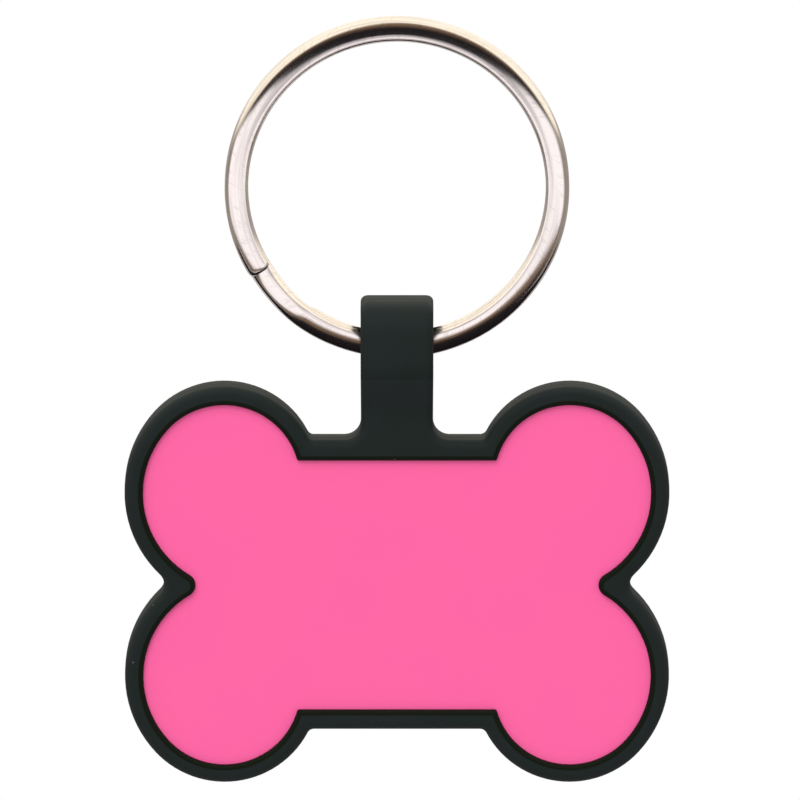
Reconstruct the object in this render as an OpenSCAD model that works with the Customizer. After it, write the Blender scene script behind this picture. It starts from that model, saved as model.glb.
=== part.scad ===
// Bone-shaped pet identity tag, hanging from its split ring.
// The front faces -Y and Z points up. The origin is where the ring hangs: the inside of the ring, at the top.
// A one-piece rubber holder carries a stiff face plate in a pocket and swings on the ring by its lug.

/* [Split ring] */
// Outside diameter of the ring
ring_d = 25; // [23:0.5:30]
// Width of the wire, measured along the ring's radius
wire_w = 1.7; // [1.5:0.05:1.9]
// Thickness of one turn of the wire
wire_t = 0.96; // [0.8:0.02:1.06]
// Hairline gap between the two turns
coil_gap = 0.05; // [0.03:0.01:0.1]
// Arc that the joggle from one turn to the other takes up, in degrees
joggle_arc = 23; // [18:1:32]
// Place of the joggle's middle, in degrees anticlockwise from three o'clock
joggle_at = 223.5; // [205:0.5:232]
// Length of the bevel on each end of the wire
tip_l = 0.5; // [0.3:0.05:0.8]

/* [Bone holder] */
// Length of the straight middle, between the fillets of its lobes
middle_l = 12.1; // [10:0.1:15]
// Height of the bone
bone_h = 29.4; // [28.5:0.1:31]
// Radius of the four lobes
lobe_r = 6.85; // [6.6:0.05:7.3]
// Angle above the horizontal at which a lobe's round passes into its longer curve down to the end notch
flank_at = 42; // [30:1:50]
// Height across the straight middle
waist_h = 21.5; // [20:0.1:22]
// Distance from the middles of two lobes out to the point of the end notch between them
notch_out = 4.4; // [4:0.1:5]
// Rounding in the point of an end notch
notch_r = 1; // [0.5:0.1:1.4]
// Thickness of the holder
body_t = 3.4; // [3.2:0.1:4]
// Rounding of the holder's outer edges
edge_r = 0.7; // [0.4:0.05:0.8]
// Fillet where a lobe meets the straight middle
lobe_fillet = 0.5; // [0.3:0.1:1.4]

/* [Pocket and lip] */
// Width of the front band around the lobes
band_w = 1.35; // [1.2:0.05:1.7]
// Width of the front band along the straight middle
middle_band = 1.5; // [1.3:0.05:1.8]
// Width of the front band at the point of each end notch
notch_band = 2.3; // [2:0.1:2.6]
// Rounding of the band where it points inwards at each end
point_r = 0.85; // [0.6:0.05:1.1]
// Thickness of the lip in front of the face plate
lip_t = 0.45; // [0.3:0.05:0.6]
// Width of the face plate's border that the lip covers
lip_lap = 0.6; // [0.4:0.05:0.7]
// Bevel on the inner edge of the lip
lip_bevel = 0.15; // [0.05:0.05:0.25]

/* [Face plate] */
// Thickness of the face plate
plate_t = 1.5; // [1:0.1:1.8]
// Clearance between the edge of the plate and the pocket's wall
plate_gap = 0.05; // [0.02:0.01:0.1]

/* [Lug] */
// Width of the lug
lug_w = 5.3; // [4.8:0.05:6]
// Width of the thin neck between the lug and the bone
neck_w = 5.25; // [4.6:0.05:5.8]
// Thickness of the lug from front to back
lug_t = 6; // [5.6:0.1:7]
// Diameter of the tunnel that the ring passes through
tunnel_d = 3.6; // [3.5:0.05:3.8]
// Rubber over the tunnel
crown_t = 1.65; // [1.4:0.05:2.2]
// Distance from the tunnel's axis to the straight middle of the bone
neck_l = 6.8; // [6.4:0.05:7.4]
// Height of the neck between the end of the lug's taper and the bone
neck_h = 1.9; // [1.4:0.05:2]
// Rounding of the lug's edges
lug_r = 0.6; // [0.4:0.05:0.8]
// Rounding of the lug's top, seen from the side
crown_r = 1.5; // [1:0.1:2]
// Fillet where the neck meets the bone
neck_fillet = 1.2; // [0.8:0.1:1.6]
// Bevel around each mouth of the tunnel
mouth_bevel = 0.3; // [0.1:0.05:0.4]

/* [Hidden] */

// Fineness of the curves
$fn = 96;
ball_fn = 24;
// How far a cut runs past the surface that it opens
overrun = 0.2;

// Ring: the middle of its wire, its centre and how far each turn lies from the ring's middle
wire_mid_r = (ring_d - wire_w) / 2;
ring_z = wire_w - ring_d / 2;
turn_step = (wire_t + coil_gap) / 2;
// Squareness of the wire's section and the number of its points
section_power = 2.3;
section_points = 18;
// Steps of the swept stretches, and their section as a share of the turned wire's, which they run into
joggle_steps = 10;
tip_steps = 6;
inset_share = 0.985;
// Size of the wire's end face, as a share of the full section
tip_share = 0.7;

// Tunnel and bone: where they lie below the origin
tunnel_z = ring_z - wire_mid_r;
bone_z = tunnel_z - neck_l - waist_h / 2;
lobe_y = bone_h / 2 - lobe_r;
waist_y = waist_h / 2;

// Fillet between a lobe and the straight middle, and the lobe's place beyond it
fillet_rise = waist_y + lobe_fillet - lobe_y;
fillet_run = sqrt(pow(lobe_r + lobe_fillet, 2) - pow(fillet_rise, 2));
fillet_at = atan2(fillet_rise, -fillet_run);
lobe_x = middle_l / 2 + fillet_run;
// Where the point of an end notch lies
notch_x = lobe_x + notch_out;

// Radius of the curve that leaves a lobe of radius r at flank_at and runs into a notch rounded by n
lobe_middle = [lobe_x, lobe_y];
flank_way = [cos(flank_at), sin(flank_at)];
function flank_radius(r, tip_x, n) =
    let (from_notch = lobe_middle + r * flank_way - [tip_x + n, 0])
    (from_notch * from_notch - pow(n, 2)) / (from_notch * flank_way + n) / 2;

body_flank_r = flank_radius(lobe_r, notch_x, notch_r);
open_r = lobe_r - band_w;
open_y = waist_y - middle_band;
open_flank_r = flank_radius(open_r, notch_x - notch_band, point_r);
// Least rounding in the notches of the pocket and the plate
least_r = 0.1;

// Levels inside the holder, measured forwards from its middle
front_y = body_t / 2;
plate_front = front_y - lip_t;
plate_back = plate_front - plate_t;

// Top of the lug above the tunnel's axis, and how far its taper runs on inside the neck, as a share of it
lug_top = tunnel_d / 2 + crown_t;
foot_share = 0.25;
// How far the neck reaches up into the lug
neck_root = neck_h / 2;
// Steps of the arcs in the outlines, on the rounded edge and on the lug's top
lobe_steps = 16;
flank_steps = 12;
fillet_steps = 4;
point_steps = 3;
round_steps = 4;
crown_steps = 4;
// Slight taper of the lug's sides above the tunnel, as moulds have
crown_draft = 0.03;

// Puts a drawing of the front view upright, with its thickness towards the front
module upright(z) {
    translate([0, 0, z])
        rotate([90, 0, 0])
            children();
}

// Repeats a quarter of the bone in its four corners
module four_corners() {
    for (sx = [0, 1], sy = [0, 1])
        mirror([sx, 0, 0])
            mirror([0, sy, 0])
                children();
}

// Split ring: one wire wound through almost two turns, back turn first

tip_arc = tip_l / wire_mid_r * 180 / PI;
wire_start = joggle_at + joggle_arc / 2;
joggle_start = wire_start + 360 - joggle_arc;
joggle_end = joggle_start + joggle_arc;
wire_end = joggle_start + 360;

// Height of the wire's middle at an angle along the wire, behind and then in front of the ring's middle
function smooth(x) = x * x * (3 - 2 * x);
function turn_height(a) =
    turn_step * (2 * smooth(min(1, max(0, (a - joggle_start) / joggle_arc))) - 1);
// Share of the full section that the wire has at an angle, less on its rounded ends
function section_share(a) =
    let (inward_share = max(0, min(1, min(a - wire_start, wire_end - a) / tip_arc)))
    inset_share * (tip_share + (1 - tip_share) * sqrt(1 - pow(1 - inward_share, 2)));

// Points of the wire's section, a rectangle with full round corners
function signed_power(x, p) = sign(x) * pow(abs(x), p);
section = [for (i = [0 : section_points - 1])
    let (a = 360 * i / section_points)
    [
        wire_w / 2 * signed_power(cos(a), 2 / section_power),
        wire_t / 2 * signed_power(sin(a), 2 / section_power)]];

// Stretch of wire swept from one angle to another in the given number of steps
module swept_wire(from, to, steps) {
    sides = section_points;
    points = [for (k = [0 : steps], p = section)
        let (a = from + (to - from) * k / steps, q = p * section_share(a), r = wire_mid_r + q[0])
        [r * cos(a), r * sin(a), turn_height(a) + q[1]]];
    walls = [for (k = [0 : steps - 1], i = [0 : sides - 1])
        let (a = k * sides + i, b = k * sides + (i + 1) % sides)
        each [[a, b, a + sides], [b, b + sides, a + sides]]];
    caps = [[for (i = [sides - 1 : -1 : 0]) i], [for (i = [0 : sides - 1]) steps * sides + i]];
    polyhedron(points, concat(walls, caps), convexity = 4);
}

// One flat turn of the wire, in front of the ring's middle or behind it
module flat_turn(side, from, to) {
    rotate([0, 0, from])
        rotate_extrude(angle = to - from)
            translate([wire_mid_r, side * turn_step])
                polygon(section);
}

module split_ring() {
    color("silver")
        upright(ring_z) {
            flat_turn(-1, wire_start + tip_arc, joggle_start);
            flat_turn(1, joggle_end, wire_end - tip_arc);
            swept_wire(joggle_start - tip_arc, joggle_end + tip_arc, joggle_steps);
            swept_wire(wire_start, wire_start + 2 * tip_arc, tip_steps);
            swept_wire(wire_end - 2 * tip_arc, wire_end, tip_steps);
        }
}

// Outlines made of points, anticlockwise in the front view

function arc(c, r, from, to, steps) =
    [for (i = [0 : steps]) let (a = from + (to - from) * i / steps) [c[0] + r * cos(a), c[1] + r * sin(a)]];
function rest(list) = [for (i = [1 : len(list) - 1]) list[i]];

// Middle of a lobe's longer curve, of radius f, and of the notch beside it, rounded by n
function flank_middle(r, f) = lobe_middle - (f - r) * flank_way;
function notch_middle(r, f, n) =
    let (m = flank_middle(r, f))
    [m[0] + sqrt(pow(f + n, 2) - pow(m[1], 2)), 0];
// Angle at which that curve meets the notch, seen from the curve's middle
function flank_from(r, f, n) =
    let (m = flank_middle(r, f), c = notch_middle(r, f, n))
    atan2(c[1] - m[1], c[0] - m[0]);
// Points of a notch from angle a to angle b on it, and of a lobe's longer curve above it
function notch_arc(r, f, n, a, b) = arc(notch_middle(r, f, n), n, a, b, point_steps);
function flank_arc(r, f, n) = arc(flank_middle(r, f), f, flank_from(r, f, n), flank_at, flank_steps);
function whole_notch(r, f, n) =
    let (a = flank_from(r, f, n))
    notch_arc(r, f, n, 180 - a, 180 + a);

// Bone with lobes of radius r, longer curves of radius f, notches rounded by n, its middle h high each way
module bone_outline(r, f, n, h) {
    notch = notch_arc(r, f, n, 180, 180 + flank_from(r, f, n));
    four_corners() {
        translate(lobe_middle)
            circle(r);
        polygon(concat([[0, 0]], notch, rest(flank_arc(r, f, n)), [lobe_middle, [lobe_x, h], [0, h]]));
    }
}

// Same bone as the opening, larger by d all round
module grown_opening(d) {
    bone_outline(open_r + d, open_flank_r + d, max(least_r, point_r - d), open_y + d);
}
function flipped(list, sx, sy) = [for (p = list) [sx * p[0], sy * p[1]]];
function reversed(list) = [for (i = [len(list) - 1 : -1 : 0]) list[i]];

// A whole bone from its right-hand notch, its top right lobe and what stands on the middle of its top edge
function whole_outline(notch, side, top) = concat(
    notch,
    side,
    top,
    reversed(flipped(side, -1, 1)),
    flipped(notch, -1, -1),
    flipped(side, -1, -1),
    reversed(flipped(side, 1, -1)));
// Number of the lobe that each of its points belongs to, or 0 for the bone's middle
function whole_fans(notch, side, top) = [
    for (p = notch) 0,
    for (p = side) 1,
    for (p = top) 0,
    for (p = side) 2,
    for (p = notch) 0,
    for (p = side) 3,
    for (p = side) 4];
fan_middles = [[0, 0], [lobe_x, lobe_y], [-lobe_x, lobe_y], [-lobe_x, -lobe_y], [lobe_x, -lobe_y]];

// Moves an outline inwards by d, with its straight sides kept parallel
function outward(a, b) = [b[1] - a[1], a[0] - b[0]] / norm(b - a);
function inset(outline, d) =
    let (n = len(outline))
    [for (i = [0 : n - 1])
        let (
            before = outward(outline[(i + n - 1) % n], outline[i]),
            after = outward(outline[i], outline[(i + 1) % n]))
        outline[i] - d * (before + after) / (1 + before * after)];

// Triangles of a flat face, as fans: its outline starts at index row, the middles of the fans at index mid
function flat_face(fans, row, mid) =
    let (n = len(fans))
    [for (i = [0 : n - 1])
        let (j = (i + 1) % n, same = fans[i] == fans[j])
        each concat(
            [[mid + (same ? fans[i] : 0), row + i, row + j]],
            same || fans[i] == 0 ? [] : [[mid, mid + fans[i], row + i]],
            same || fans[j] == 0 ? [] : [[mid, row + j, mid + fans[j]]])];

// Solid through levels [inset, height] of one bone outline, from its back to its front
module bone_loft(notch, side, top, levels) {
    outline = whole_outline(notch, side, top);
    fans = whole_fans(notch, side, top);
    n = len(outline);
    rows = len(levels);
    skin = [for (l = levels, p = inset(outline, l[0])) [p[0], p[1], l[1]]];
    middles = [for (l = [levels[0], levels[rows - 1]], p = fan_middles) [p[0], p[1], l[1]]];
    walls = [for (k = [0 : rows - 2], i = [0 : n - 1])
        let (a = k * n + i, b = k * n + (i + 1) % n)
        each [[a, a + n, b], [b, a + n, b + n]]];
    back = flat_face(fans, 0, rows * n);
    front = [for (f = flat_face(fans, (rows - 1) * n, rows * n + len(fan_middles))) [f[0], f[2], f[1]]];
    polyhedron(concat(skin, middles), concat(walls, back, front), convexity = 6);
}

// Holder without its pocket: a bone with a neck on top, its edges rounded all the way round
module rounded_body() {
    side = concat(
        rest(flank_arc(lobe_r, body_flank_r, notch_r)),
        rest(arc(lobe_middle, lobe_r, flank_at, fillet_at, lobe_steps)),
        rest(arc(
            [lobe_x - fillet_run, waist_y + lobe_fillet], lobe_fillet, fillet_at - 180, -90, fillet_steps)));
    neck_side = concat(
        arc([neck_w / 2 + neck_fillet, waist_y + neck_fillet], neck_fillet, -90, -180, fillet_steps),
        [[neck_w / 2, waist_y + neck_h + neck_root]]);
    turns = [for (i = [0 : round_steps]) 90 * i / round_steps];
    bone_loft(
        whole_notch(lobe_r, body_flank_r, notch_r),
        side,
        concat(neck_side, reversed(flipped(neck_side, -1, 1))),
        concat(
            [for (a = turns) [edge_r * (1 - sin(a)), edge_r * (1 - cos(a)) - body_t / 2]],
            [for (a = turns) [edge_r * (1 - cos(a)), body_t / 2 - edge_r * (1 - sin(a))]]));
}

// Opening in the front, down to the middle of the face plate, with a bevel on the lip's edge
module front_opening() {
    join_at = 180 - asin((open_y - lobe_y) / open_r);
    side = concat(
        rest(flank_arc(open_r, open_flank_r, point_r)),
        rest(arc(lobe_middle, open_r, flank_at, join_at, lobe_steps)));
    bone_loft(whole_notch(open_r, open_flank_r, point_r), side, [], [
        [0, plate_front - plate_t / 2],
        [0, front_y - lip_bevel],
        [-lip_bevel - overrun, front_y + overrun]]);
}

// Lug around the tunnel: thick over the tunnel, then tapering down into the neck
module lug() {
    shoulder = [lug_w / 2 - lug_r, lug_t / 2 - lug_r, -tunnel_d / 2];
    foot = [neck_w / 2 - lug_r, body_t / 2 - lug_r, neck_h - neck_l];
    crown = arc(
        [shoulder[1] - crown_draft - crown_r + lug_r, lug_top - crown_r], crown_r - lug_r, 0, 90, crown_steps);
    corners = concat(
        [foot - (shoulder - foot) * foot_share, shoulder],
        [for (c = crown) [shoulder[0], c[0], c[1]]]);
    difference() {
        hull()
            for (c = corners, sx = [-1, 1], sy = [-1, 1])
                translate([sx * c[0], sy * c[1], c[2]])
                    sphere(lug_r, $fn = ball_fn);
        rotate([0, 90, 0])
            cylinder(h = lug_w + 2 * overrun, d = tunnel_d, center = true);
        for (side = [0, 1])
            mirror([side, 0, 0])
                translate([lug_w / 2 - mouth_bevel, 0, 0])
                    rotate([0, 90, 0])
                        cylinder(
                            h = mouth_bevel + overrun,
                            r1 = tunnel_d / 2,
                            r2 = tunnel_d / 2 + mouth_bevel + overrun);
    }
}

module silicone_holder() {
    color("#24292a") {
        upright(bone_z)
            difference() {
                rounded_body();
                translate([0, 0, plate_back])
                    linear_extrude(plate_t)
                        grown_opening(lip_lap + plate_gap);
                front_opening();
            }
        translate([0, 0, tunnel_z])
            lug();
    }
}

// Face plate: lies on the pocket's floor with its border under the lip
module face_plate() {
    color("hotpink")
        upright(bone_z)
            translate([0, 0, plate_back])
                linear_extrude(plate_t)
                    grown_opening(lip_lap);
}

split_ring();
silicone_holder();
face_plate();
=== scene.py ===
# Bone-shaped pet tag on its split ring, in metres: the face looks along -Y and Z is up.
import math

import bmesh
import bpy
from mathutils import Matrix, Vector


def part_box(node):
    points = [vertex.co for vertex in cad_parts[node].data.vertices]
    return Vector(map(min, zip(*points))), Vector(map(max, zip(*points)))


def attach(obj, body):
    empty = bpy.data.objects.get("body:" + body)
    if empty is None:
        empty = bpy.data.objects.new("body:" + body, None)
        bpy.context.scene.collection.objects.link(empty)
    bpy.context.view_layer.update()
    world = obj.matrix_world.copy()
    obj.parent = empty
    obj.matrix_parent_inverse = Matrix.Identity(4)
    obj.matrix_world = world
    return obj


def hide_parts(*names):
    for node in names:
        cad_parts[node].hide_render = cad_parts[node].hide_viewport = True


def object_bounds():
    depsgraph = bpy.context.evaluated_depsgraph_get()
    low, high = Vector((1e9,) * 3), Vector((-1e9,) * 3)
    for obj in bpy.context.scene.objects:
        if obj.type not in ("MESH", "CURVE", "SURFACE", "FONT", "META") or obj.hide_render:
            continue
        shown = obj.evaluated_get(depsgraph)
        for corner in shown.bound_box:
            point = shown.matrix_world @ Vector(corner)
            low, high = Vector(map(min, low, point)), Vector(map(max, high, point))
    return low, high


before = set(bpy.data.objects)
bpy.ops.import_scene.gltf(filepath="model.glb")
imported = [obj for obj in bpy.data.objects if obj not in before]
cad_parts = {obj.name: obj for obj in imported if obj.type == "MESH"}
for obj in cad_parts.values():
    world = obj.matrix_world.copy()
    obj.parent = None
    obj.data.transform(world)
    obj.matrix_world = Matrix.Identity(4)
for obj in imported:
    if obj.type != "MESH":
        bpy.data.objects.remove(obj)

mm = 0.001
scene = bpy.context.scene
scene.view_settings.view_transform = "Standard"
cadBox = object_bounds()
ringLow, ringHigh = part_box("split_ring")
holderLow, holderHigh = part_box("silicone_holder")


# Small helpers for objects

def addObject(name, data):
    made = bpy.data.objects.new(name, data)
    scene.collection.objects.link(made)
    return made


def meshObject(name, shape):
    mesh = bpy.data.meshes.new(name)
    shape.to_mesh(mesh)
    shape.free()
    return addObject(name, mesh)


# The mesh that an object's modifiers make; the object itself goes
def takeMesh(source, name):
    bpy.context.view_layer.update()
    mesh = bpy.data.meshes.new_from_object(source.evaluated_get(bpy.context.evaluated_depsgraph_get()))
    bpy.data.objects.remove(source)
    mesh.name = name
    return mesh


# Small helpers for node trees, where a value is a number, a colour or another node's socket

def feed(tree, socket, value):
    if isinstance(value, bpy.types.NodeSocket):
        tree.links.new(value, socket)
    else:
        socket.default_value = value


def addNode(tree, kind, inputs=None, **settings):
    node = tree.nodes.new(kind)
    for name, value in settings.items():
        setattr(node, name, value)
    for name, value in (inputs or {}).items():
        feed(tree, node.inputs[name], value)
    return node


def calc(tree, operation, a, b=0.0, c=0.0):
    node = addNode(tree, "ShaderNodeMath", operation=operation)
    for socket, value in zip(node.inputs, (a, b, c)):
        feed(tree, socket, value)
    return node.outputs[0]


def product(tree, shares):
    result = shares[0]
    for share in shares[1:]:
        result = calc(tree, "MULTIPLY", result, share)
    return result


def ramp(tree, value, low, high, start=0.0, end=1.0):
    return addNode(
        tree, "ShaderNodeMapRange",
        {"Value": value, "From Min": low, "From Max": high, "To Min": start, "To Max": end},
        interpolation_type="SMOOTHSTEP").outputs[0]


def mixColour(tree, share, first, second):
    node = addNode(tree, "ShaderNodeMix", data_type="RGBA")
    for index, value in ((0, share), (6, first), (7, second)):
        feed(tree, node.inputs[index], value)
    return node.outputs[2]


def split(tree, vector):
    return addNode(tree, "ShaderNodeSeparateXYZ", {0: vector}).outputs


def objectPlace(tree):
    return addNode(tree, "ShaderNodeTexCoord").outputs["Object"]


def noise(tree, place, size, detail=2.0, roughness=0.5, **settings):
    amounts = {"Vector": place, "Scale": 1 / size, "Detail": detail, "Roughness": roughness}
    return addNode(tree, "ShaderNodeTexNoise", amounts, **settings).outputs[0]


# A measure that a noise varies evenly about its middle
def uneven(tree, height, amount, middle):
    return calc(tree, "MULTIPLY_ADD", height, amount, middle - amount / 2)


# A material for the studio, with no nodes yet
def bareMaterial(name):
    material = bpy.data.materials.new(name)
    material.use_nodes = True
    material.node_tree.nodes.clear()
    return material, material.node_tree


# A material for a piece, with its shader
def newFinish(name):
    material = bpy.data.materials.new(name)
    material.use_nodes = True
    return material, material.node_tree, material.node_tree.nodes["Principled BSDF"]


def coat(tree, shader, colour, rough, height, depth):
    bump = addNode(tree, "ShaderNodeBump", {"Height": height, "Strength": 1.0, "Distance": depth})
    for name, value in (("Base Color", colour), ("Roughness", rough), ("Normal", bump.outputs[0])):
        tree.links.new(value, shader.inputs[name])


# Camera

cameraView = {
    "distance": 1500 * mm,
    "elevation": 11,  # degrees above the tag
    "across": 58.16 * mm,  # what the frame takes in at the tag
    "aim": (0.22 * mm, 0, -26.54 * mm),
    "sensor": 36,
    "clipShares": (0.01, 100),  # nearest and farthest that it sees, as shares of its distance
}


def makeCamera(values):
    data = bpy.data.cameras.new("tagCamera")
    data.sensor_width = values["sensor"]
    data.lens = values["sensor"] * values["distance"] / values["across"]
    data.clip_start, data.clip_end = [values["distance"] * share for share in values["clipShares"]]
    camera = addObject("tagCamera", data)
    tilt = math.radians(values["elevation"])
    back = Vector((0, -math.cos(tilt), math.sin(tilt)))
    camera.location = Vector(values["aim"]) + back * values["distance"]
    camera.rotation_euler = (math.pi / 2 - tilt, 0, 0)
    scene.camera = camera


makeCamera(cameraView)
print("camera set")


# Studio: a white surround, one soft lamp, a floor below the hanging tag, and a room that only metal shows

studio = {
    "fill": 0.77,  # even light on the tag from all round
    "keyPower": 1.42,
    "keyFrom": (-0.35, -0.8, 0.9),
    "keySoftness": 40,  # degrees across
    "frontColour": (0.010, 0.008, 0.010, 1),  # what metal shows of the dark room in front
    "upperColour": (0.20, 0.125, 0.08, 1),
    "upperFrom": (0, 26),  # degrees above the horizon
    "sideColour": (0.37, 0.33, 0.29, 1),
    "sideFrom": (24, 48),  # degrees off the front
    "wallColour": (0.46, 0.42, 0.42, 1),
    "wallFrom": (85, 125),  # degrees off the front
    "topColour": (1.35, 1.27, 1.10, 1),
    "topSlope": 1.04,  # how steeply the ceiling's light begins in front
    "topSpread": 1.0,  # how much lower it reaches at the sides
    "topEdge": 0.3,  # half the width over which it begins
    "topAbove": (5, 15),  # degrees above the horizon
    "floorDrop": 60 * mm,
    "floorAcross": 320 * mm,
    "floorSides": 96,
    "floorColour": (0.62, 0.60, 0.62, 1),
    "floorLift": 0.45,  # what the camera sees of the floor above its own light
}


def makeWorld(values):
    world = bpy.data.worlds.new("studioWorld")
    scene.world = world
    world.use_nodes = True
    tree = world.node_tree
    tree.nodes.clear()
    direction = addNode(tree, "ShaderNodeTexCoord").outputs["Generated"]
    x, y, z = split(tree, direction)
    height = calc(tree, "DEGREES", calc(tree, "ARCSINE", z))
    bearing = calc(tree, "DEGREES", calc(tree, "ARCTAN2", x, calc(tree, "MULTIPLY", y, -1.0)))
    offFront = calc(tree, "ABSOLUTE", bearing)
    wide = calc(tree, "MULTIPLY_ADD", calc(tree, "ABSOLUTE", x), values["topSpread"], z)
    overhead = calc(tree, "MULTIPLY_ADD", y, values["topSlope"], wide)
    ceiling = product(tree, (
        ramp(tree, overhead, -values["topEdge"], values["topEdge"]),
        ramp(tree, height, *values["topAbove"])))
    colour = values["frontColour"]
    for share, name in (
            (ramp(tree, height, *values["upperFrom"]), "upperColour"),
            (ramp(tree, offFront, *values["sideFrom"]), "sideColour"),
            (ramp(tree, offFront, *values["wallFrom"]), "wallColour"),
            (ceiling, "topColour")):
        colour = mixColour(tree, share, colour, values[name])
    path = addNode(tree, "ShaderNodeLightPath")
    reflected = addNode(tree, "ShaderNodeBackground", {"Color": colour})
    seen = addNode(tree, "ShaderNodeBackground", {"Color": (1, 1, 1, 1)})
    even = addNode(tree, "ShaderNodeBackground", {"Color": (1, 1, 1, 1), "Strength": values["fill"]})
    shiny = addNode(tree, "ShaderNodeMixShader", {
        0: path.outputs["Is Glossy Ray"], 1: even.outputs[0], 2: reflected.outputs[0]})
    whole = addNode(tree, "ShaderNodeMixShader", {
        0: path.outputs["Is Camera Ray"], 1: shiny.outputs[0], 2: seen.outputs[0]})
    addNode(tree, "ShaderNodeOutputWorld", {"Surface": whole.outputs[0]})


def makeLamp(values):
    data = bpy.data.lights.new("keyLamp", "SUN")
    data.energy = values["keyPower"]
    data.angle = math.radians(values["keySoftness"])
    lamp = addObject("keyLamp", data)
    lamp.rotation_euler = Vector(values["keyFrom"]).to_track_quat("Z", "Y").to_euler()
    lamp.visible_glossy = False  # metal shows the softbox and the room instead


def makeFloor(values):
    shape = bmesh.new()
    bmesh.ops.create_circle(
        shape, cap_ends=True, segments=values["floorSides"], radius=values["floorAcross"] / 2)
    bmesh.ops.translate(shape, verts=shape.verts, vec=(0, 0, cadBox[0].z - values["floorDrop"]))
    floor = meshObject("floor", shape)
    material, tree = bareMaterial("paleFloor")
    path = addNode(tree, "ShaderNodeLightPath")
    matte = addNode(tree, "ShaderNodeBsdfDiffuse", {"Color": values["floorColour"]})
    lift = addNode(tree, "ShaderNodeEmission", {
        "Color": (1, 1, 1, 1),
        "Strength": calc(tree, "MULTIPLY", path.outputs["Is Camera Ray"], values["floorLift"])})
    both = addNode(tree, "ShaderNodeAddShader", {0: matte.outputs[0], 1: lift.outputs[0]})
    addNode(tree, "ShaderNodeOutputMaterial", {"Surface": both.outputs[0]})
    floor.data.materials.append(material)


makeWorld(studio)
makeLamp(studio)
makeFloor(studio)
print("studio lit")


# Two cards that only reflections show: a softbox in front of the ring and a dark card below it

softbox = {
    "ahead": 16 * mm,
    "left": -30 * mm,
    "right": 24 * mm,
    "sideFade": 4 * mm,
    "bottom": -25.6 * mm,
    "topMiddle": -7.4 * mm,  # its top edge is lower in the middle
    "topSides": -4.9 * mm,
    "middleHalf": (4 * mm, 12 * mm),  # how far from the middle the top edge climbs
    "topFade": 1.2 * mm,
    "colour": (1.27, 1.24, 1.29, 1),
    "footColour": (0.20, 0.125, 0.08, 1),
    "footFrom": (-23.0 * mm, -20.0 * mm),
    "footRise": 2.6 * mm,  # its bottom edge and its foot climb so far towards the right
    "footRight": (2 * mm, 10 * mm),
    "greyColour": (0.60, 0.57, 0.62, 1),  # in its upper middle
    "greyHalf": (3 * mm, 10 * mm),
    "greyFrom": (-16 * mm, -10 * mm),
}

shade = {
    "height": -24.5 * mm,
    "half": 28 * mm,
    "ahead": 9 * mm,
    "colour": studio["frontColour"],
}


# Light of a colour where share is one, clear where it is nothing
def addGlow(tree, share, colour):
    light = addNode(tree, "ShaderNodeEmission", {"Color": colour})
    clear = addNode(tree, "ShaderNodeBsdfTransparent")
    both = addNode(tree, "ShaderNodeMixShader", {0: share, 1: clear.outputs[0], 2: light.outputs[0]})
    addNode(tree, "ShaderNodeOutputMaterial", {"Surface": both.outputs[0]})


def makeCard(name, corners, material):
    mesh = bpy.data.meshes.new(name)
    mesh.from_pydata(corners, [], [(0, 1, 2, 3)])
    mesh.materials.append(material)
    card = addObject(name, mesh)
    for ray in ("camera", "diffuse", "transmission", "volume_scatter", "shadow"):
        setattr(card, "visible_" + ray, False)


def makeSoftbox(values):
    material, tree = bareMaterial("softboxGlow")
    left, right, bottom = values["left"], values["right"], values["bottom"]
    side, fade = values["sideFade"], values["topFade"]
    x, y, z = split(tree, objectPlace(tree))
    off = calc(tree, "ABSOLUTE", x)
    top = ramp(tree, off, *values["middleHalf"], values["topMiddle"], values["topSides"])
    risen = calc(tree, "SUBTRACT", z, ramp(tree, x, *values["footRight"], 0.0, values["footRise"]))
    mask = product(tree, (
        ramp(tree, x, left - side, left + side),
        ramp(tree, x, right - side, right + side, 1.0, 0.0),
        ramp(tree, risen, bottom - fade, bottom + fade),
        ramp(tree, calc(tree, "SUBTRACT", z, top), -fade, fade, 1.0, 0.0)))
    grey = product(tree, (
        ramp(tree, off, *values["greyHalf"], 1.0, 0.0),
        ramp(tree, z, *values["greyFrom"])))
    foot = ramp(tree, risen, *values["footFrom"], 1.0, 0.0)
    colour = mixColour(tree, grey, values["colour"], values["greyColour"])
    colour = mixColour(tree, foot, colour, values["footColour"])
    addGlow(tree, mask, colour)
    left, right, low = left - side, right + side, bottom - fade
    high = max(values["topMiddle"], values["topSides"]) + fade
    corners = ((left, low), (right, low), (right, high), (left, high))
    makeCard("softbox", [(across, -values["ahead"], up) for across, up in corners], material)


# Dark from above, clear from below
def makeShade(values):
    material, tree = bareMaterial("shadeDark")
    under = addNode(tree, "ShaderNodeNewGeometry").outputs["Backfacing"]
    addGlow(tree, calc(tree, "SUBTRACT", 1.0, under), values["colour"])
    half, near = values["half"], -values["ahead"]
    corners = ((-half, near), (half, near), (half, 0), (-half, 0))
    makeCard("shade", [(across, along, values["height"]) for across, along in corners], material)


makeSoftbox(softbox)
makeShade(shade)
print("cards hung")


# Split ring: one drawn wire in two turns, with a joggle between them

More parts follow.
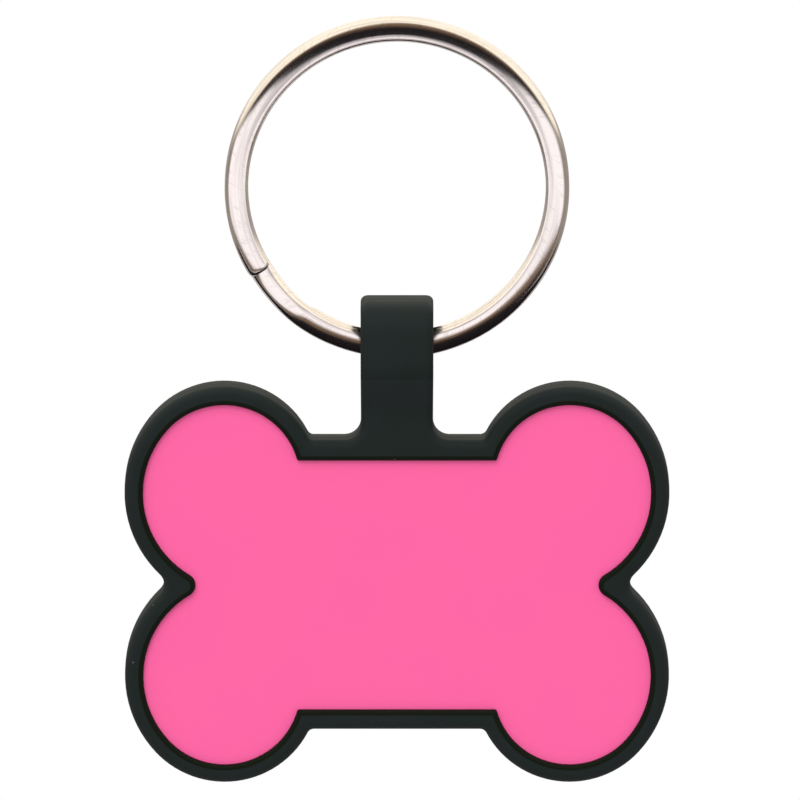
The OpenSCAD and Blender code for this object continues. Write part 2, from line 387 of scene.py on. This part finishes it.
ring = {
    "wireWidth": 1.7 * mm,
    "wireThickness": 0.96 * mm,
    "turnGap": 0.05 * mm,
    "joggleMiddle": 223.5,  # degrees anticlockwise from three o'clock
    "joggleArc": 23,
    "tipLength": 0.5 * mm,
    "tipShare": 0.7,  # of the full section, at the cut ends
    "squareness": 2.3,
    "pointsAlong": 1400,
    "pointsRound": 28,
    "plateColour": (0.80, 0.745, 0.70, 1),
    "roughness": 0.13,
    "drawn": 0.5,  # how far the drawing lines spread a highlight across the wire
    "lineLength": 9 * mm,
    "lineSpacing": 0.14 * mm,
    "lineDepth": 0.005 * mm,
    "lineColour": (0.55, 0.50, 0.47, 1),
    "lineFrom": (0.42, 0.72),  # heights of the noise from which a line begins and is full
    "lineShade": 0.6,
    "lineRough": 0.05,
    "markAngle": 38,  # degrees between the handling marks and the wire
    "markLength": 0.9 * mm,
    "markSpacing": 0.2 * mm,
    "markFrom": (0.5, 0.75),
    "markShade": 0.45,
    "wear": 0.05,  # how much the roughness varies
    "wearSize": 2.5 * mm,
}


def ringTree(values):
    tree = bpy.data.node_groups.new("woundWire", "GeometryNodeTree")
    tree.is_modifier = True
    sizes = {
        "Coil Radius": (min(ringHigh.x - ringLow.x, ringHigh.z - ringLow.z) - values["wireWidth"]) / 2,
        "Wire Width": values["wireWidth"],
        "Wire Thickness": values["wireThickness"],
        "Turn Gap": values["turnGap"],
        "Joggle Middle": math.radians(values["joggleMiddle"]),
        "Joggle Arc": math.radians(values["joggleArc"]),
        "Tip Length": values["tipLength"],
        "Tip Share": values["tipShare"],
        "Squareness": values["squareness"],
    }
    for name in sizes:
        tree.interface.new_socket(name, in_out="INPUT", socket_type="NodeSocketFloat")
    for name in ("Points Along", "Points Round"):
        tree.interface.new_socket(name, in_out="INPUT", socket_type="NodeSocketInt")
    tree.interface.new_socket("Finish", in_out="INPUT", socket_type="NodeSocketMaterial")
    tree.interface.new_socket("Wire", in_out="OUTPUT", socket_type="NodeSocketGeometry")
    given = addNode(tree, "NodeGroupInput").outputs

    def store(shape, name, value, kind="FLOAT", domain="POINT"):
        return addNode(tree, "GeometryNodeStoreNamedAttribute", {
            "Geometry": shape.outputs[0], "Name": name, "Value": value}, data_type=kind, domain=domain)

    def stored(name):
        return addNode(
            tree, "GeometryNodeInputNamedAttribute", {"Name": name}, data_type="FLOAT").outputs[0]

    # Path: an angle at each point, from the back turn's end round twice to the front turn's end
    line = addNode(tree, "GeometryNodeCurvePrimitiveLine", {"End": (1, 0, 0)})
    path = addNode(tree, "GeometryNodeResampleCurve", {
        "Curve": line.outputs[0], "Count": given["Points Along"]})
    share = addNode(tree, "GeometryNodeSplineParameter").outputs["Factor"]
    halfArc = calc(tree, "MULTIPLY", given["Joggle Arc"], 0.5)
    start = calc(tree, "ADD", given["Joggle Middle"], halfArc)
    sweep = calc(tree, "SUBTRACT", 4 * math.pi, given["Joggle Arc"])
    angle = calc(tree, "MULTIPLY_ADD", share, sweep, start)
    joggleStart = calc(tree, "SUBTRACT", calc(tree, "ADD", start, 2 * math.pi), given["Joggle Arc"])
    joggleEnd = calc(tree, "ADD", joggleStart, given["Joggle Arc"])
    step = calc(tree, "MULTIPLY", calc(tree, "ADD", given["Wire Thickness"], given["Turn Gap"]), 0.5)
    place = addNode(tree, "ShaderNodeCombineXYZ", {
        "X": calc(tree, "MULTIPLY", calc(tree, "COSINE", angle), given["Coil Radius"]),
        "Y": calc(tree, "MULTIPLY", calc(tree, "SINE", angle), given["Coil Radius"]),
        "Z": ramp(tree, angle, joggleStart, joggleEnd, calc(tree, "MULTIPLY", step, -1.0), step)})
    path = addNode(tree, "GeometryNodeSetPosition", {
        "Geometry": path.outputs[0], "Position": place.outputs[0]})

    # Ends: the section shrinks on a round shoulder over the last of the wire
    length = calc(tree, "MULTIPLY", sweep, given["Coil Radius"])
    nearer = calc(tree, "MINIMUM", share, calc(tree, "SUBTRACT", 1.0, share))
    inward = calc(tree, "DIVIDE", calc(tree, "MULTIPLY", nearer, length), given["Tip Length"])
    off = calc(tree, "SUBTRACT", 1.0, calc(tree, "MINIMUM", inward, 1.0))
    shoulder = calc(tree, "SQRT", calc(tree, "SUBTRACT", 1.0, calc(tree, "MULTIPLY", off, off)))
    growth = calc(tree, "SUBTRACT", 1.0, given["Tip Share"])
    scale = calc(tree, "MULTIPLY_ADD", shoulder, growth, given["Tip Share"])
    path = store(path, "along", calc(tree, "MULTIPLY", share, length))
    path = addNode(tree, "GeometryNodeSetCurveNormal", {"Curve": path.outputs[0]}, mode="Z_UP")

    # Section: a rectangle with full round corners
    circle = addNode(tree, "GeometryNodeCurvePrimitiveCircle", {
        "Resolution": given["Points Round"], "Radius": 1.0}, mode="RADIUS")
    shareRound = addNode(tree, "GeometryNodeSplineParameter").outputs["Factor"]
    turn = calc(tree, "MULTIPLY", shareRound, 2 * math.pi)
    power = calc(tree, "DIVIDE", 2.0, given["Squareness"])

    def rounded(wave, size):
        part = calc(tree, wave, turn)
        bent = calc(tree, "POWER", calc(tree, "ABSOLUTE", part), power)
        whole = calc(tree, "MULTIPLY", calc(tree, "SIGN", part), bent)
        return calc(tree, "MULTIPLY", whole, calc(tree, "MULTIPLY", size, 0.5))

    spot = addNode(tree, "ShaderNodeCombineXYZ", {
        "X": rounded("COSINE", given["Wire Width"]), "Y": rounded("SINE", given["Wire Thickness"])})
    section = addNode(tree, "GeometryNodeSetPosition", {
        "Geometry": circle.outputs[0], "Position": spot.outputs[0]})
    section = store(section, "around", shareRound)
    wire = addNode(tree, "GeometryNodeCurveToMesh", {
        "Curve": path.outputs[0], "Profile Curve": section.outputs[0], "Scale": scale, "Fill Caps": True})
    wire = addNode(tree, "GeometryNodeTransform", {
        "Geometry": wire.outputs[0], "Rotation": (math.pi / 2, 0, 0)})

    # Map of the wire: its length one way, round its section the other
    seamDrop = 0.3  # a corner so far behind its face's middle is past the seam, a full turn on
    around = stored("around")
    middle = addNode(tree, "GeometryNodeFieldOnDomain", {0: around}, domain="FACE", data_type="FLOAT")
    pastSeam = calc(tree, "GREATER_THAN", calc(tree, "SUBTRACT", middle.outputs[0], around), seamDrop)
    girth = calc(tree, "ADD", given["Wire Width"], given["Wire Thickness"])
    mapped = addNode(tree, "ShaderNodeCombineXYZ", {
        "X": stored("along"), "Y": calc(tree, "MULTIPLY", calc(tree, "ADD", around, pastSeam), girth)})
    wire = store(wire, "wireMap", mapped.outputs[0], "FLOAT2", "CORNER")
    smooth = addNode(tree, "GeometryNodeSetShadeSmooth", {"Geometry": wire.outputs[0]})
    real = addNode(tree, "GeometryNodeRealizeInstances", {"Geometry": smooth.outputs[0]})
    done = addNode(tree, "GeometryNodeSetMaterial", {
        "Geometry": real.outputs[0], "Material": given["Finish"]})
    addNode(tree, "NodeGroupOutput", {"Wire": done.outputs[0]})
    return tree, sizes


def makeRing(values, finish):
    tree, sizes = ringTree(values)
    source = addObject("woundWire", bpy.data.meshes.new("woundWire"))
    modifier = source.modifiers.new("woundWire", "NODES")
    modifier.node_group = tree
    amounts = dict(sizes, **{
        "Points Along": values["pointsAlong"], "Points Round": values["pointsRound"], "Finish": finish})
    for socket in tree.interface.items_tree:
        if socket.in_out == "INPUT":
            modifier[socket.identifier] = amounts[socket.name]
    mesh = takeMesh(source, "splitRing")
    mesh.transform(Matrix.Translation((ringLow + ringHigh) / 2))
    return addObject("splitRing", mesh)


# Noise drawn out into streaks of such a length and spacing, along the first direction of a map
def streaks(tree, place, length, spacing, **settings):
    stretched = addNode(tree, "ShaderNodeVectorMath", {
        0: place, 1: (1 / length, 1 / spacing, 0)}, operation="MULTIPLY")
    return noise(tree, stretched.outputs[0], 1, noise_dimensions="2D", **settings)


def nickelFinish(values):
    material, tree, shader = newFinish("brightNickel")
    shader.inputs["Metallic"].default_value = 1.0
    shader.inputs["Anisotropic"].default_value = values["drawn"]
    wireMap = addNode(tree, "ShaderNodeUVMap", uv_map="wireMap").outputs[0]
    tangent = addNode(tree, "ShaderNodeTangent", direction_type="UV_MAP", uv_map="wireMap")
    tree.links.new(tangent.outputs[0], shader.inputs["Tangent"])
    turned = addNode(tree, "ShaderNodeVectorRotate", {
        "Vector": wireMap, "Angle": math.radians(values["markAngle"])}, rotation_type="Z_AXIS")
    lines = streaks(tree, wireMap, values["lineLength"], values["lineSpacing"], detail=3.0, roughness=0.6)
    marks = streaks(tree, turned.outputs[0], values["markLength"], values["markSpacing"])
    worn = calc(tree, "MAXIMUM",
        ramp(tree, lines, *values["lineFrom"], 0.0, values["lineShade"]),
        ramp(tree, marks, *values["markFrom"], 0.0, values["markShade"]))
    colour = mixColour(tree, worn, values["plateColour"], values["lineColour"])
    wear = noise(tree, objectPlace(tree), values["wearSize"])
    rough = uneven(tree, wear, values["wear"], values["roughness"])
    rough = calc(tree, "MULTIPLY_ADD", lines, values["lineRough"], rough)
    coat(tree, shader, colour, rough, lines, values["lineDepth"])
    return material


splitRing = makeRing(ring, nickelFinish(ring))
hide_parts("split_ring")
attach(splitRing, "ring")
print("split ring wound")


# Silicone holder: the bone with its pocket and lip, the neck and the lug in one moulding

mould = {
    "lobeRadius": 6.85 * mm,
    "flankAt": 42,  # degrees above the horizontal, where a lobe's round passes into its longer curve
    "boneHeight": 29.4 * mm,
    "waistHeight": 21.5 * mm,
    "notchOut": 4.4 * mm,  # from the middles of two lobes to the point of the notch between them
    "notchRound": 1.0 * mm,
    "joinRound": 0.5 * mm,  # where a lobe meets the waist
    "thickness": 3.4 * mm,
    "edgeRound": 0.7 * mm,
    "bandWidth": 1.35 * mm,  # black band round the plate, at the lobes
    "middleBand": 1.5 * mm,
    "notchBand": 2.3 * mm,
    "openJoinRound": 0.16 * mm,
    "openNotchRound": 0.85 * mm,
    "lipThickness": 0.45 * mm,
    "lipRound": 0.3 * mm,
    "paintedShadeFade": 0.12 * mm,  # width over which the painted shade at the lip's round edge fades
    "leastRound": 0.02 * mm,  # smallest that a corner gets in a wider outline
    "lipLap": 0.6 * mm,  # how far the lip covers the plate
    "plateGap": 0.05 * mm,
    "plateThickness": 1.5 * mm,
    "neckWidth": 5.25 * mm,
    "neckRound": 1.2 * mm,
    "neckHeight": 1.9 * mm,  # from the bone to the crease where the lug begins to thicken
    "lugWidth": 5.3 * mm,
    "lugCorner": 0.62 * mm,
    "lugEdge": 0.72,  # rounding of the lug's edges, as a share of the bone's
    "creaseSoft": 0.9 * mm,
    "tunnel": 3.6 * mm,
    "tunnelToBone": 6.8 * mm,
    "crownThickness": 1.65 * mm,
    "crownRound": 1.5 * mm,
    "crownDraft": 0.03 * mm,
    "mouthRound": 0.3 * mm,
    "mouthShare": 0.8,  # of a quarter round, in the flare at each mouth
    "seamProud": 0.008 * mm,  # parting line round the outer wall
    "seamWidth": 0.12 * mm,
    "roundSteps": 8,
    "flankSteps": 22,
    "lobeSteps": 28,
    "cornerSteps": 7,
    "neckColumns": 14,
    "lugSteps": 4,
    "tunnelSides": 96,
    "sharpFrom": 38,  # degrees between faces
    "rubberColour": (0.0105, 0.0168, 0.0150, 1),
    "cloudColour": (0.0120, 0.0168, 0.0172, 1),
    "cloudSize": 3 * mm,
    "cloudFrom": (0.35, 0.65),  # heights of the noise between which the colours pass over
    "cloudRough": 0.12,
    # painted shade for the lip's round edge, where it turns in to the plate
    "paintedShadeColour": (0.0030, 0.0065, 0.0018, 1),
    "grainSize": 0.09 * mm,
    "grainDepth": 0.006 * mm,
    "lint": 0.5,
    "lintColour": (0.20, 0.22, 0.22, 1),
    "lintSpacing": 1.6 * mm,
    "lintLargest": 0.035,  # radius of the largest speck, as a share of the spacing
    "roughness": 0.66,
    "gloss": 0.15,
}


def clamp(share):
    return min(1, max(0, share))


def mirrored(path):
    return [(-x, v) for x, v in reversed(path)]


def arc(centre, radius, start, end, steps):
    angles = [start + (end - start) * i / steps for i in range(steps + 1)]
    return [(centre[0] + radius * math.cos(a), centre[1] + radius * math.sin(a)) for a in angles]


def between(a, b, steps):
    return [(a[0] + (b[0] - a[0]) * i / steps, a[1] + (b[1] - a[1]) * i / steps) for i in range(steps + 1)]


def inset(loop, distance, shares=None):
    moved = []
    for i, p in enumerate(loop):
        before, after = loop[i - 1], loop[(i + 1) % len(loop)]
        first = Vector((p[1] - before[1], before[0] - p[0])).normalized()
        second = Vector((after[1] - p[1], p[0] - after[0])).normalized()
        bend = (first + second) / (1 + first.dot(second))
        step = distance * (shares[i] if shares else 1)
        moved.append((p[0] - step * bend.x, p[1] - step * bend.y))
    return moved


def joinRows(shape, rows):
    for first, second in zip(rows, rows[1:]):
        for i in range(len(first)):
            j = (i + 1) % len(first)
            shape.faces.new((first[i], first[j], second[j], second[i]))


# Outlines of the holder as seen from the front, with x to the right and v up from the bone's middle
class BoneForm:
    def __init__(self, values):
        self.values = values
        half, tip = values["waistHeight"] / 2, values["notchOut"]
        lobe, notch = values["lobeRadius"], values["notchRound"]
        self.flankTurn = math.radians(values["flankAt"])
        self.way = Vector((math.cos(self.flankTurn), math.sin(self.flankTurn)))
        self.lobe = Vector((0, values["boneHeight"] / 2 - lobe))
        flank = self.flankRadius(lobe, tip, notch)
        self.lobe.x = holderHigh.x - flank + (flank - lobe) * self.way.x
        self.middleZ = holderLow.z + values["boneHeight"] / 2
        self.neckX = values["neckWidth"] / 2 + values["neckRound"]
        self.body = (lobe, flank, notch, half, values["joinRound"])
        band, point = values["bandWidth"], values["openNotchRound"]
        openFlank = self.flankRadius(lobe - band, tip - values["notchBand"], point)
        self.opening = (lobe - band, openFlank, point, half - values["middleBand"], values["openJoinRound"])
        self.tunnelV = half + values["tunnelToBone"]
        self.lugTop = self.tunnelV + values["tunnel"] / 2 + values["crownThickness"]
        self.lugThickness = holderHigh.y - holderLow.y

        # The lug thickens from the crease to the shoulder and is round above the crown
        self.crease = half + values["neckHeight"]
        self.shoulder = self.tunnelV - values["tunnel"] / 2
        self.crown = self.lugTop - values["crownRound"]

    # Radius of the curve that leaves a lobe at flankAt and runs into the notch beyond it
    def flankRadius(self, radius, tip, notch):
        across = radius * self.way - Vector((tip + notch, -self.lobe.y))
        return (across.dot(across) - notch ** 2) / (across.dot(self.way) + notch) / 2

    # Measures of an outline that lies so much further out all round
    def grown(self, shape, by):
        radius, flank, notch, half, join = shape
        least = self.values["leastRound"]
        return (radius + by, flank + by, max(least, notch - by), half + by, max(least, join - by))

    # Right-hand side of a bone, from its bottom edge round the notch to its top edge
    def side(self, shape):
        radius, flank, notch, half, join = shape
        steps = self.values["cornerSteps"]
        bend = self.lobe - (flank - radius) * self.way
        middle = bend.x + math.sqrt((flank + notch) ** 2 - bend.y ** 2)
        foot = math.atan2(-bend.y, middle - bend.x)
        rise = half + join - self.lobe.y
        run = math.sqrt((radius + join) ** 2 - rise ** 2)
        joinAt = math.atan2(rise, -run)
        upper = arc((middle, 0), notch, math.pi, math.pi + foot, steps)
        upper += arc(bend, flank, foot, self.flankTurn, self.values["flankSteps"])[1:]
        upper += arc(self.lobe, radius, self.flankTurn, joinAt, self.values["lobeSteps"])[1:]
        corner = (self.lobe.x - run, half + join)
        upper += arc(corner, join, joinAt - math.pi, -math.pi / 2, steps)[1:]
        return [(x, -v) for x, v in reversed(upper[1:])] + upper

    # Closed outline of a bone, anticlockwise from the left end of the stretch below the neck
    def loop(self, shape):
        side = self.side(shape)
        half = shape[3]
        columns, steps = self.values["neckColumns"], self.values["cornerSteps"]
        edge = side[-1][0]
        top = between((edge, half), (self.neckX, half), steps)[1:]
        top += between((self.neckX, half), (-self.neckX, half), columns)[1:]
        top += between((-self.neckX, half), (-edge, half), steps)[1:-1]
        bottom = between((-self.neckX, -half), (self.neckX, -half), columns)
        bottom += between((self.neckX, -half), (edge, -half), steps)[1:-1]
        close = between((-edge, -half), (-self.neckX, -half), steps)[1:-1]
        neckFrom = len(bottom) + len(side) + steps - 1
        return bottom + side + top + mirrored(side) + close, neckFrom

    # Right-hand outline of the neck and lug, above the bone
    def lugSide(self):
        values = self.values
        crease, shoulder, crown = self.crease, self.shoulder, self.crown
        half, width = values["waistHeight"] / 2, values["neckWidth"] / 2
        lugHalf, corner = values["lugWidth"] / 2, values["lugCorner"]
        middle = (width + values["neckRound"], half + values["neckRound"])
        path = arc(middle, values["neckRound"], -math.pi / 2, -math.pi, values["cornerSteps"])[1:]
        soft, steps = values["creaseSoft"], values["lugSteps"]
        bend = [soft * i / steps for i in range(-steps, steps + 1)]
        levels = [crease + b for b in bend]
        levels += [crease + soft + (shoulder - crease - 2 * soft) * i / steps for i in range(1, steps)]
        levels += [shoulder + b for b in bend]
        levels += [shoulder + soft + (crown - shoulder - soft) * i / steps for i in range(1, steps + 1)]
        leastStep = soft / (3 * steps)
        for v in levels:
            if v > path[-1][1] + leastStep:
                share = clamp((v - crease) / (shoulder - crease))
                path.append((width + (lugHalf - width) * share, v))
        last = path[-1][1]
        bend = arc((lugHalf - corner, self.lugTop - corner), corner, 0, math.pi / 2, values["cornerSteps"])
        return path + [p for p in bend if p[1] > last]

    def halfThickness(self, v):
        values = self.values
        thin, thick = values["thickness"] / 2, self.lugThickness / 2
        soft, rise = values["creaseSoft"], self.shoulder - self.crease
        share = clamp((v - self.crease) / rise)
        if abs(v - self.crease) < soft:
            share = (v - self.crease + soft) ** 2 / (4 * soft * rise)
        if abs(v - self.shoulder) < soft:
            share = 1 - (self.shoulder + soft - v) ** 2 / (4 * soft * rise)
        over = min(values["crownRound"], max(0, v - self.crown))
        drop = values["crownRound"] - math.sqrt(values["crownRound"] ** 2 - over ** 2)
        taper = values["crownDraft"] * clamp((v - self.shoulder) / (self.crown - self.shoulder))
        return thin + (thick - thin) * share - drop - taper


class HolderMesh:
    def __init__(self, values):
        self.values = values
        self.form = BoneForm(values)
        self.shape = bmesh.new()
        # Painted shade: a mark on the vertices of the lip's round edge, which darkens the rubber there
        self.paintedLipShade = self.shape.verts.layers.float.new("paintedLipShade")
        steps = values["roundSteps"]
        self.turns = [math.pi / 2 * i / steps for i in range(steps + 1)]

    def point(self, x, v, depth):
        values, form = self.values, self.form
        flat = values["thickness"] / 2 - values["edgeRound"]
        onLug = abs(x) < form.neckX
        extra = form.halfThickness(v) - values["thickness"] / 2 if onLug else 0
        if abs(depth) > flat:
            depth += math.copysign(extra, depth)
        else:
            depth *= (flat + extra) / flat
        return self.shape.verts.new((x, -depth, form.middleZ + v))

    def row(self, loop, depth):
        return [self.point(x, v, depth) for x, v in loop]

    # Inset and depth of each row of the outer wall, from the back to the front
    def wallLevels(self, thick):
        edge, proud = self.values["edgeRound"], self.values["seamProud"]
        wide = self.values["seamWidth"] / 2
        crest = wide / 4
        levels = [(proud + edge * (1 - math.sin(a)), edge * (1 - math.cos(a)) - thick) for a in self.turns]
        levels += [(proud, -wide), (0, -crest), (0, crest), (proud, wide)]
        levels += [(proud + edge * (1 - math.cos(a)), thick - edge * (1 - math.sin(a))) for a in self.turns]
        return levels

    # Face of the neck and lug between its left and right edges, and the line where it stands on the bone
    def lugFace(self, row, depth, neckFrom, rise):
        columns = self.values["neckColumns"]
        right = row[neckFrom:neckFrom + rise + 1]
        left = [row[neckFrom + 2 * rise + columns - j] for j in range(rise + 1)]
        top = row[neckFrom + rise:neckFrom + rise + columns + 1]
        lines = []
        for a, b in zip(right[:-1], left[:-1]):
            v = a.co.z - self.form.middleZ
            lines.append([a] + self.row(between((a.co.x, v), (b.co.x, v), columns)[1:-1], depth) + [b])
        lines.append(top)
        for low, high in zip(lines, lines[1:]):
            for i in range(columns):
                self.shape.faces.new((low[i], low[i + 1], high[i + 1], high[i]))
        return lines[0]

    # Rows round the opening: the round edge of the lip, which carries a painted shade, its underside and
    # the pocket for the plate
    def openingRows(self, thick):
        values, form = self.values, self.form
        wider = values["lipLap"] + values["plateGap"]
        lip, plateFront = values["lipRound"], thick - values["lipThickness"]

        def around(by, depth):
            return self.row(form.loop(form.grown(form.opening, by))[0], depth)

        band = around(lip + values["paintedShadeFade"], thick)
        # The lip's round edge, down to the plate, carries the painted shade
        paintedShadeRows = [around(lip + values["seamProud"], thick)]
        paintedShadeRows += [around(lip * (1 - math.sin(a)), thick - lip * (1 - math.cos(a))) for a in self.turns]
        paintedShadeRows.append(around(0, plateFront))
        for row in paintedShadeRows:
            for vert in row:
                vert[self.paintedLipShade] = 1
        pocket = [around(wider, plateFront), around(wider, plateFront - values["plateThickness"])]
        return [band] + paintedShadeRows + pocket

    def build(self):
        values, form, shape = self.values, self.form, self.shape
        bone, neckFrom = form.loop(form.body)
        lug = form.lugSide()
        rise, columns = len(lug), values["neckColumns"]
        top = between(lug[-1], (-lug[-1][0], lug[-1][1]), columns)[1:-1]
        whole = bone[:neckFrom + 1] + lug + top + mirrored(lug) + bone[neckFrom + columns:]

        # The lug's edges are sharper than the bone's
        half, sharper = values["waistHeight"] / 2, 1 - values["lugEdge"]
        shares = [1 - sharper * clamp((v - half) / values["neckHeight"]) for x, v in whole]
        thick = values["thickness"] / 2
        wall = [self.row(inset(whole, d, shares), depth) for d, depth in self.wallLevels(thick)]
        joinRows(shape, wall)

        def boneEdge(row, depth):
            line = self.lugFace(row, depth, neckFrom, rise)
            return row[:neckFrom] + line + row[neckFrom + 2 * rise + columns + 1:]

        flatFrom = values["edgeRound"] + 3 * values["seamProud"]
        back = [boneEdge(wall[0], -thick), self.row(inset(bone, flatFrom), -thick)]
        joinRows(shape, back)
        shape.faces.new(back[-1])
        front = [boneEdge(wall[-1], thick), self.row(inset(bone, flatFrom), thick)]
        front += self.openingRows(thick)
        joinRows(shape, front)
        shape.faces.new(front[-1])
        bmesh.ops.recalc_face_normals(shape, faces=shape.faces)
        return shape


# Round cutter for the tunnel, flared at both mouths
def tunnelCutter(values, form):
    radius, flare, half = values["tunnel"] / 2, values["mouthRound"], values["lugWidth"] / 2
    steps, sides = values["roundSteps"], values["tunnelSides"]
    widest = math.pi / 2 * values["mouthShare"]
    profile = []
    for i in range(steps + 1):
        a = widest * i / steps
        profile.append((half - flare + flare * math.sin(a), radius + flare * (1 - math.cos(a))))
    last = profile[-1]
    profile.append((last[0] + flare, last[1] + flare * math.tan(widest)))
    turns = [2 * math.pi * i / sides for i in range(sides)]
    shape = bmesh.new()
    rings = []
    for x, r in mirrored(profile) + profile:
        rings.append([shape.verts.new((x, r * math.cos(a), r * math.sin(a))) for a in turns])
    joinRows(shape, rings)
    shape.faces.new(rings[0])
    shape.faces.new(rings[-1])
    bmesh.ops.translate(shape, verts=shape.verts, vec=(0, 0, form.middleZ + form.tunnelV))
    bmesh.ops.recalc_face_normals(shape, faces=shape.faces)
    return shape


def makeHolder(values):
    builder = HolderMesh(values)
    solid = meshObject("holderSolid", builder.build())
    cutter = meshObject("tunnelCutter", tunnelCutter(values, builder.form))
    cut = solid.modifiers.new("tunnel", "BOOLEAN")
    cut.operation = "DIFFERENCE"
    cut.solver = "EXACT"
    cut.object = cutter
    mesh = takeMesh(solid, "siliconeHolder")
    bpy.data.objects.remove(cutter)
    mesh.shade_smooth()
    mesh.set_sharp_from_angle(angle=math.radians(values["sharpFrom"]))
    return addObject("siliconeHolder", mesh)


def rubberFinish(values):
    material, tree, shader = newFinish("blackSilicone")
    shader.inputs["Specular IOR Level"].default_value = values["gloss"]
    place = objectPlace(tree)

    # Slightly clouded rubber, with a painted shade darkening the lip's round edge where it turns in to the
    # plate, and a few pale specks of lint
    cloud = noise(tree, place, values["cloudSize"], detail=3.0, roughness=0.55)
    clouded = ramp(tree, cloud, *values["cloudFrom"])
    # Painted shade: the mark on the lip's round edge
    lip = addNode(tree, "ShaderNodeAttribute", attribute_name="paintedLipShade").outputs["Fac"]
    spots = addNode(tree, "ShaderNodeTexVoronoi", {
        "Vector": place, "Scale": 1 / values["lintSpacing"], "Randomness": 1.0})
    reach = calc(tree, "MULTIPLY", split(tree, spots.outputs["Color"])[0], values["lintLargest"])
    lint = calc(tree, "LESS_THAN", spots.outputs["Distance"], reach)
    colour = mixColour(tree, clouded, values["rubberColour"], values["cloudColour"])
    # Painted shade on the lip's round edge by the plate
    colour = mixColour(tree, ramp(tree, lip, 0.0, 1.0), colour, values["paintedShadeColour"])
    colour = mixColour(tree, calc(tree, "MULTIPLY", lint, values["lint"]), colour, values["lintColour"])

    grain = noise(tree, place, values["grainSize"], roughness=0.6)
    rough = uneven(tree, cloud, values["cloudRough"], values["roughness"])
    coat(tree, shader, colour, rough, grain, values["grainDepth"])
    return material


siliconeHolder = makeHolder(mould)
siliconeHolder.data.materials.clear()
siliconeHolder.data.materials.append(rubberFinish(mould))
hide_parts("silicone_holder")
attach(siliconeHolder, "tag")
print("holder moulded")


# Face plate: stiff pink plate held under the lip

plate = {
    "colour": (1.0, 0.125, 0.374, 1),
    "warmColour": (1.0, 0.129, 0.367, 1),
    "cloudSize": 6 * mm,
    "cloudFrom": (0.3, 0.7),
    "grainSize": 0.05 * mm,
    "grainDepth": 0.0012 * mm,
    "grainRough": 0.1,
    "roughness": 0.45,
    "gloss": 0.3,
}


def plateFinish(values):
    material, tree, shader = newFinish("pinkPlate")
    shader.inputs["Specular IOR Level"].default_value = values["gloss"]
    place = objectPlace(tree)
    clouded = ramp(tree, noise(tree, place, values["cloudSize"]), *values["cloudFrom"])
    colour = mixColour(tree, clouded, values["colour"], values["warmColour"])
    grain = noise(tree, place, values["grainSize"])
    rough = uneven(tree, grain, values["grainRough"], values["roughness"])
    coat(tree, shader, colour, rough, grain, values["grainDepth"])
    return material


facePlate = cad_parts["face_plate"]
facePlate.data.materials.clear()
facePlate.data.materials.append(plateFinish(plate))
print("face plate finished")
